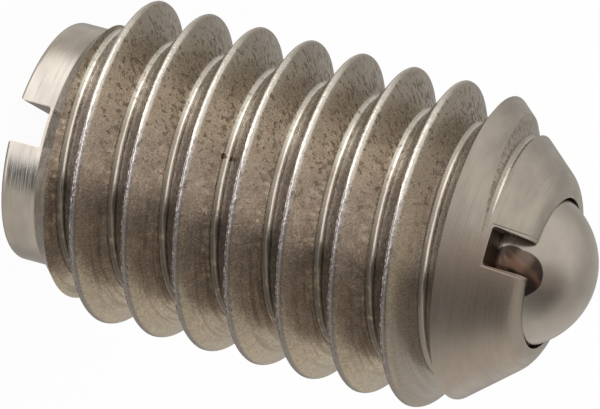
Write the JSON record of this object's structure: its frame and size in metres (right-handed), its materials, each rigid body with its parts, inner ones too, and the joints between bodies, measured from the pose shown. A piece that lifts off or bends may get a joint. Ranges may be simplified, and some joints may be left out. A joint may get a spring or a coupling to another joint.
{
  "type": "ball-nose spring plunger",
  "caption": "Externally threaded steel plunger with a sprung ball held in its coned nose, and a driver slot at each end.",
  "frame": {"origin": "centre of the slotted rear end face, which the plunger stands on", "axes": "+Z along the screw's axis, out of the ball nose; +Y along both driver slots; +X square to them"},
  "size_m": [0.0094, 0.0094, 0.0168],
  "materials": {
    "turned_steel": "satin, as cut on a lathe, with fine circumferential marks",
    "polished_steel": "fine-ground, near polished",
    "spring_wire": "drawn wire, smooth"
  },
  "bodies": {
    "screw": {"body": "turned_steel", "spring": "spring_wire"},
    "ball": {"ball": "polished_steel"}
  },
  "joints": [
    {"name": "ball_slide", "type": "slide", "parent": "screw", "child": "ball", "axis": [0, 0, -1], "range_m": [0, 0.0012], "stiffness_N_per_m": 11000, "deforming": ["spring"]}
  ]
}
